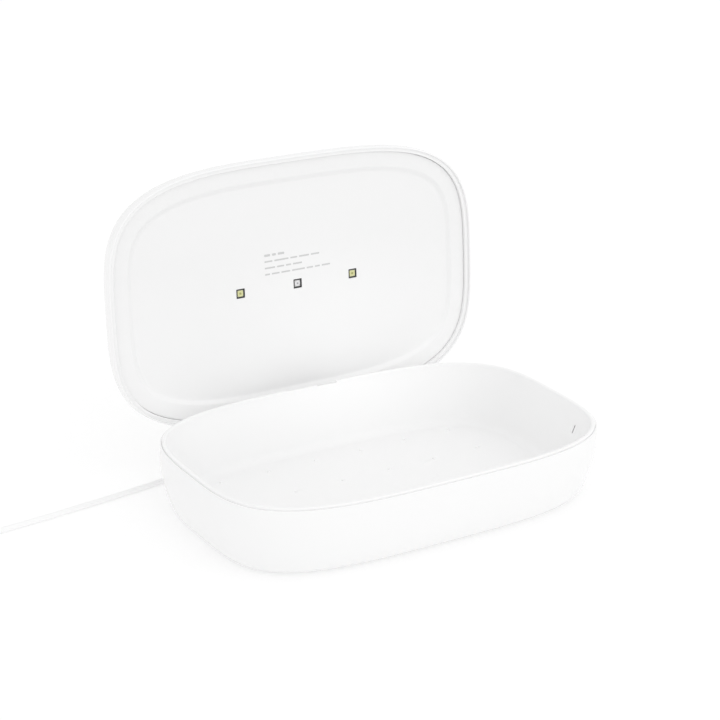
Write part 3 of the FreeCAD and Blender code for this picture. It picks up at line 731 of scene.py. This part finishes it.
def make_lid_panel():
    """The inner panel: a flat band, a soft step down, and a gently crowned middle with windows."""
    band = BASE_TOP + LINER_BAND_Z
    deep = BASE_TOP + PANEL_Z
    foot = PANEL_INSET + PANEL_SLOPE_RUN
    back = deep + LINER_THICK
    crown, middle = dome_rings(foot + 0.9, deep, -PANEL_CROWN, 40)
    pairs = [(foot + 0.9, deep), (foot + 0.3, deep - 0.02)]
    pairs += [(foot - 0.15, deep - 0.13), (foot - 0.5, deep - 0.32)]
    pairs += [(PANEL_INSET + 0.55, band + 0.28), (PANEL_INSET + 0.2, band + 0.1)]
    pairs += [(PANEL_INSET - 0.15, band + 0.02), (PANEL_INSET - 0.6, band)]
    pairs += arc(LINER_INSET + 0.3, band + 0.3, 0.3, 270.0, 180.0, 4)
    pairs += [(LINER_INSET, band + LINER_THICK), (PANEL_INSET - LINER_THICK, band + LINER_THICK)]
    pairs += [(foot - LINER_THICK, back)]
    rings = list(reversed(crown)) + rings_of(pairs)
    panel = new_object("lid_panel", skin(rings, middle, (0.0, 0.0, back)), liner_white)
    surface = BVHTree.FromPolygons([v.co / MM for v in panel.data.vertices],
                                   [p.vertices for p in panel.data.polygons])
    cuts = bmesh.new()
    half = WINDOW_SIZE / 2.0
    for x in (-LED_PITCH, 0.0, LED_PITCH):
        rounded_prism(cuts, half, half, BASE_TOP, back + 1.0, 0.35, (x, LED_Y), 4)
    combine(panel, cuts, "DIFFERENCE")
    place(panel, "lid", "liner_white", "lid_liner")
    return surface


def surface_z(surface, x, y):
    """The height of the panel's lower face at a place, closed lid."""
    return surface.ray_cast(Vector((x, y, 0.0)), Vector((0.0, 0.0, 1.0)))[0].z


def make_print(surface):
    """Rows of small plain bars in place of printed lines."""
    bm = bmesh.new()
    rows = [(-18.5, 0.62, (3.6, 2.4, 3.9)), (-15.2, 0.42, (4.8, 8.6, 4.2, 6.1, 5.2)),
            (-11.7, 0.42, (6.2, 4.4, 3.1, 5.6)), (-8.3, 0.42, (3.0, 4.6, 5.4, 7.8, 4.0, 3.1, 5.2))]
    for y, half, words in rows:
        x = -19.4
        for width in words:
            z = surface_z(surface, x + width / 2.0, y)
            centre = (x + width / 2.0, y)
            rounded_prism(bm, width / 2.0, half, z - 0.03, z + 0.1, half * 0.8, centre, 4)
            x += width + 1.1
    place(new_object("printed_bars", bm, print_grey), "lid", None)


def make_lamp(name, x, node, surface, gel, chip, round_lens):
    """One ultraviolet lamp: a black frame in the window, a ceramic body, its gel and its chip."""
    top = surface_z(surface, x, LED_Y + WINDOW_SIZE)
    half = LED_SIZE / 2.0
    frame_bm = bmesh.new()
    outer = WINDOW_SIZE / 2.0 - LAMP_FRAME_GAP
    face = top + LAMP_RECESS
    rounded_prism(frame_bm, outer, outer, face, face + LAMP_FRAME_HEIGHT, 0.3, (x, LED_Y), 4)
    holder = new_object(name + "_frame", frame_bm, frame_black)
    pocket = bmesh.new()
    inner = half + LAMP_FRAME_GAP
    rounded_prism(pocket, inner, inner, face - 1.0, face + 1.0, 0.2, (x, LED_Y), 4)
    combine(holder, pocket, "DIFFERENCE")
    place(holder, "lid", "black_board", "lamp_frames")
    body = bmesh.new()
    rounded_prism(body, half, half, face + 0.3, face + 1.0, 0.25, (x, LED_Y), 4)
    place(new_object(name + "_body", body, ceramic), "lid", "led_centre")
    lens = bmesh.new()
    if round_lens:
        profile = [(0.0, half - 0.1), (0.12, half - 0.12), (0.24, half - 0.3)]
        profile += [(0.3, half - 0.7), (0.32, 0.2)]
        turned(lens, profile, (x, LED_Y, face + 0.3), (0.0, 0.0, -1.0), 40)
    else:
        rounded_prism(lens, half - 0.12, half - 0.12, face + 0.12, face + 0.3, 0.6, (x, LED_Y), 6)
    place(new_object(name + "_gel", lens, gel), "lid", "led_outer")
    die = bmesh.new()
    rounded_prism(die, DIE_HALF_WIDTH, DIE_HALF_WIDTH, face - 0.04, face + 0.2, 0.08, (x, LED_Y), 3)
    place(new_object(name + "_chip", die, chip), "lid", "led_outer", node)


# ---------------------------------------------------------------- cord

def coil_points():
    """The coil's centreline: in along the floor, up one layer at the middle, and out again."""
    cx, cy = COIL_CENTRE
    inward = (COIL_START_RADIUS - COIL_END_RADIUS) / COIL_PITCH
    climb = 0.34
    total = 7.0 + 55.0 / 360.0
    points = []
    for i in range(1, round(total * COIL_POINTS_PER_TURN)):
        turn = i / COIL_POINTS_PER_TURN
        radius = COIL_START_RADIUS - COIL_PITCH * turn
        z = CORD_RADIUS
        if turn > inward:
            share = min(1.0, (turn - inward) / climb)
            radius = COIL_END_RADIUS
            z = CORD_RADIUS + COIL_LAYER * share * share * (3.0 - 2.0 * share)
        if turn > inward + climb:
            outward = (turn - inward - climb) / (total - inward - climb)
            radius = COIL_END_RADIUS + (COIL_START_RADIUS - COIL_END_RADIUS) * outward
        a = math.radians(270.0) - 2.0 * math.pi * turn
        points.append((cx + radius * math.cos(a), cy + radius * math.sin(a), z))
    return points


def make_cord():
    """The cable as one curve: out of the casing, along the floor, round the coil and to the plug."""
    route = CORD_ROUTE + coil_points() + TAIL_ROUTE
    curve = bpy.data.curves.new("cord", "CURVE")
    curve.dimensions = "3D"
    curve.bevel_depth = CORD_RADIUS * MM
    curve.bevel_resolution = 6
    curve.resolution_u = 8
    curve.use_fill_caps = True
    spline = curve.splines.new("NURBS")
    spline.points.add(len(route) - 1)
    for point, place_mm in zip(spline.points, route):
        point.co = (*(Vector(place_mm) * MM), 1.0)
    spline.order_u = 3
    spline.use_endpoint_u = True
    curve.materials.append(cord_white)
    obj = bpy.data.objects.new("cord", curve)
    bpy.context.scene.collection.objects.link(obj)
    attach(obj, "base")
    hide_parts("cord_run", "cord_coil", "cord_tail")
    return obj


def make_strain_relief():
    """The tapered sleeve where the cord leaves the casing, with three rings cut into it."""
    bm = bmesh.new()
    profile = [(0.0, 3.6), (1.0, 3.6), (1.0, 2.55), (7.0, 2.55), (7.3, 2.75), (8.2, 2.75), (8.4, 2.5)]
    for i in range(3):
        d = 8.8 + 1.5 * i
        r = 2.5 - 0.2 * i
        profile += [(d, r), (d + 0.15, r - 0.35), (d + 0.55, r - 0.37), (d + 0.7, r - 0.08)]
    profile += [(13.6, 1.95), (14.0, 1.8), (14.1, 1.55)]
    turned(bm, profile, (62.0, 58.0, 9.0), (0.0, 1.0, 0.0))
    place(new_object("strain_relief", bm, cord_white), "base", "cord_white", "cord_gland")


def make_tie():
    """A soft strap closed around the coil's turns, with its tail end laid over."""
    cx, cy = COIL_CENTRE
    inner = cy + COIL_END_RADIUS - CORD_RADIUS
    outer = cy + COIL_START_RADIUS + CORD_RADIUS
    mid_y = (inner + outer) / 2.0
    half_y = (outer - inner) / 2.0 + 0.15
    mid_z = 3.15
    half_z = 3.05
    bm = bmesh.new()
    loops = []
    for grow, x in ((0.0, -3.0), (0.45, -3.0), (0.55, -2.8), (0.55, 2.8), (0.45, 3.0), (0.0, 3.0)):
        ring = []
        for k in range(4):
            for i in range(7):
                a = math.radians(90.0 * (k + i / 6.0))
                corner = 1.5 + grow
                y = mid_y + math.copysign(half_y - 1.5, math.cos(math.radians(90.0 * k + 45.0)))
                z = mid_z + math.copysign(half_z - 1.5, math.sin(math.radians(90.0 * k + 45.0)))
                low = max(0.02, z + corner * math.sin(a))
                ring.append(bm.verts.new((cx + x, y + corner * math.cos(a), low)))
        loops.append(ring)
    for first, second in zip(loops, loops[1:] + loops[:1]):
        bridge(bm, first, second)
    tail_low = (cx - 2.6, mid_y - 4.5, mid_z + half_z + 0.45)
    rounded_box(bm, tail_low, (cx + 2.6, mid_y + 5.0, mid_z + half_z + 0.95), 0.2)
    return place(new_object("coil_strap", bm, tie_white), "base", "tie_white", "cord_tie")


def make_plug():
    """The USB plug: a moulded grip with ribs and a neck, a steel sleeve and its contact tongue."""
    x, y, z = PLUG_START
    rings = []
    for d, half_x, half_z in GRIP_RINGS:
        ring = []
        for i in range(GRIP_POINTS):
            a = 2.0 * math.pi * i / GRIP_POINTS
            c = math.cos(a)
            s = math.sin(a)
            size = (abs(c) ** GRIP_POWER + abs(s) ** GRIP_POWER) ** (-1.0 / GRIP_POWER)
            ring.append((x + half_x * size * c, y + d, z + half_z * size * s))
        rings.append(ring)
    grip = skin(rings, (x, y, z), (x, y + PLUG_LENGTH, z))
    body = new_object("plug_grip", grip, cord_white)
    ribs = bmesh.new()
    for side in (-1, 1):
        for i in range(5):
            d = y + RIB_START + RIB_PITCH * i
            far = z + side * 4.6
            near = z + side * 3.75
            low = (x - 3.4, d, min(near, far))
            rounded_box(ribs, low, (x + 3.4, d + RIB_WIDTH, max(near, far)), 0.15, 2)
    combine(body, ribs, "DIFFERENCE")
    place(body, "base", "plug_white", "usb_plug_body")
    neck = bmesh.new()
    profile = [(0.0, 1.58), (0.4, 1.85), (7.6, 2.3), (8.4, 2.3)]
    turned(neck, profile, (x, y - NECK_LENGTH, z), (0.0, 1.0, 0.0))
    collar = place(new_object("plug_neck", neck, cord_white), "base", "plug_white")
    sleeve = bmesh.new()
    rounded_prism(sleeve, 6.0, 2.25, 0.0, SLEEVE_LENGTH, 0.5, (0.0, 0.0), 4)
    hollow = bmesh.new()
    rounded_prism(hollow, 5.7, 1.95, 0.5, 13.0, 0.3, (0.0, 0.0), 4)
    end = y + PLUG_LENGTH
    turn = Matrix.Translation((x, end, z)) @ Matrix.Rotation(math.radians(-90.0), 4, "X")
    for bm in (sleeve, hollow):
        bmesh.ops.transform(bm, matrix=turn, verts=bm.verts)
    for side in (-1, 1):
        left = x + side * SLEEVE_HOLE_OFFSET - SLEEVE_HOLE_WIDTH / 2.0
        box_mesh(hollow, (left, end + 5.2, z - 3.0), (left + SLEEVE_HOLE_WIDTH, end + 7.6, z + 3.0))
    shell = combine(new_object("plug_sleeve", sleeve, steel), hollow, "DIFFERENCE")
    place(shell, "base", "plug_steel", "usb_plug_shell")
    tongue = bmesh.new()
    start = end + 0.5
    rounded_box(tongue, (x - 5.55, start, z - 1.9), (x + 5.55, start + TONGUE_LENGTH, z - 0.2), 0.15, 2)
    insert = place(new_object("plug_tongue", tongue, tray_white), "base", "plug_insert", "usb_plug_tongue")
    pads = bmesh.new()
    for k, centre in enumerate(CONTACT_PLACES):
        length = LONG_CONTACT if k in (0, 3) else SHORT_CONTACT
        low = (x + centre - 0.5, start + 1.2, z - 0.25)
        rounded_box(pads, low, (x + centre + 0.5, start + 1.2 + length, z - 0.08), 0.04, 1)
    contacts = place(new_object("plug_contacts", pads, gold), "base", "plug_steel")
    return [body, collar, shell, insert, contacts]


# ---------------------------------------------------------------- carried-over parts

def paint_cad():
    """Gives each CAD part that stays its own material."""
    paints = {
        "hinge_bracket": bracket_white, "hinge_pin": pin_steel, "base_screws": steel, "bracket_screws": steel,
        "led_board_screws": steel, "main_board": board_green, "sensor_board": board_green,
        "led_board": board_black,
        "driver_chip": chip_black, "hall_sensor": chip_black, "power_inductor": ferrite,
        "filter_capacitors": capacitor_tan, "supply_leads": cord_white, "base_lamp_lead": cord_white,
        "lid_lamp_lead": cord_white, "lid_magnet": nickel,
    }
    for name, material in paints.items():
        obj = frame["nodes"][name]
        obj.data.materials.clear()
        obj.data.materials.append(material)


# ---------------------------------------------------------------- studio

def make_floor():
    """A wide white floor that glows a little, so that its edge melts into the room."""
    material, tree, shader = new_material("floor_white")
    tint = tinted(tree, noise(tree, 3.0), (0.55, 0.55, 0.55), (0.56, 0.56, 0.56))
    tree.links.new(tint, shader.inputs["Base Color"])
    shader.inputs["Roughness"].default_value = 0.9
    shader.inputs["Specular IOR Level"].default_value = 0.0
    shader.inputs["Emission Color"].default_value = (1.0, 1.0, 1.0, 1.0)
    shader.inputs["Emission Strength"].default_value = FLOOR_GLOW
    bm = bmesh.new()
    ring = []
    for i in range(96):
        a = 2.0 * math.pi * i / 96
        ring.append(bm.verts.new((FLOOR_RADIUS * math.cos(a), FLOOR_RADIUS * math.sin(a), -0.02)))
    bm.faces.new(ring)
    floor = new_object("studio_floor", bm, material)


def aim_light(name, lamp, place_m, aim):
    """Puts a lamp in the scene, turned towards a point."""
    obj = bpy.data.objects.new(name, lamp)
    obj.location = place_m
    obj.rotation_euler = (Vector(aim) - Vector(place_m)).to_track_quat("-Z", "Y").to_euler()
    bpy.context.scene.collection.objects.link(obj)


def make_light(name, place_m, aim, size, power):
    """A round soft light."""
    lamp = bpy.data.lights.new(name, "AREA")
    lamp.shape = "DISK"
    lamp.size = size
    lamp.energy = power
    aim_light(name, lamp, place_m, aim)


def make_spot(name, place_m, aim, angle, radius, power):
    """A narrow cone of light with a soft edge."""
    lamp = bpy.data.lights.new(name, "SPOT")
    lamp.spot_size = math.radians(angle)
    lamp.spot_blend = 1.0
    lamp.shadow_soft_size = radius
    lamp.energy = power
    aim_light(name, lamp, place_m, aim)


def make_studio():
    """An even white room, a little brighter in front, with one key light and two fills."""
    world = bpy.data.worlds.new("studio")
    world.use_nodes = True
    tree = world.node_tree
    direction = tree.nodes.new("ShaderNodeTexCoord")
    towards = tree.nodes.new("ShaderNodeVectorMath")
    towards.operation = "DOT_PRODUCT"
    towards.inputs[1].default_value = BRIGHT_SIDE
    strength = tree.nodes.new("ShaderNodeMapRange")
    strength.inputs["From Min"].default_value = -1.0
    strength.inputs["To Min"].default_value = ROOM_LIGHT[0]
    strength.inputs["To Max"].default_value = ROOM_LIGHT[1]
    tree.links.new(direction.outputs["Generated"], towards.inputs[0])
    tree.links.new(towards.outputs["Value"], strength.inputs["Value"])
    tree.links.new(strength.outputs["Result"], tree.nodes["Background"].inputs["Strength"])
    tree.nodes["Background"].inputs["Color"].default_value = (1.0, 1.0, 1.0, 1.0)
    bpy.context.scene.world = world
    make_light("key", (1.1, -1.5, 1.2), (0.0, 0.0, 0.05), 0.9, KEY_POWER)
    make_spot("fill", FILL_PLACE, (0.01, 0.065, 0.055), 9.0, 0.12, FILL_POWER)
    make_spot("hinge_fill", FILL_PLACE, (0.02, 0.08, 0.046), 4.2, 0.04, HINGE_FILL_POWER)
    bpy.context.scene.view_settings.view_transform = "Standard"


def make_camera():
    """The camera in front and to the left, a little above, with a long lens."""
    data = bpy.data.cameras.new("camera")
    data.sensor_width = 36.0
    data.lens = CAMERA_LENS
    data.clip_end = 100.0
    camera = bpy.data.objects.new("camera", data)
    camera.location = CAMERA_PLACE
    aim = Vector(CAMERA_AIM).to_track_quat("-Z", "Y").to_matrix().to_4x4()
    roll = Matrix.Rotation(math.radians(CAMERA_ROLL), 4, "Z")
    camera.matrix_world = Matrix.Translation(camera.location) @ aim @ roll
    bpy.context.scene.collection.objects.link(camera)
    bpy.context.scene.camera = camera


make_camera()
make_floor()
make_studio()
cord = make_cord()
make_strain_relief()
strap = make_tie()
plug_pieces = make_plug()
make_casing()
make_tray()
make_foot_pad()
make_lid_cover()
panel_surface = make_lid_panel()
make_print(panel_surface)
make_lamp("lamp_left", -LED_PITCH, "uv_led_left", panel_surface, gel_yellow, chip_yellow, False)
make_lamp("lamp_centre", 0.0, "uv_led_centre", panel_surface, gel_grey, chip_grey, True)
make_lamp("lamp_right", LED_PITCH, "uv_led_right", panel_surface, gel_yellow, chip_yellow, False)
paint_cad()
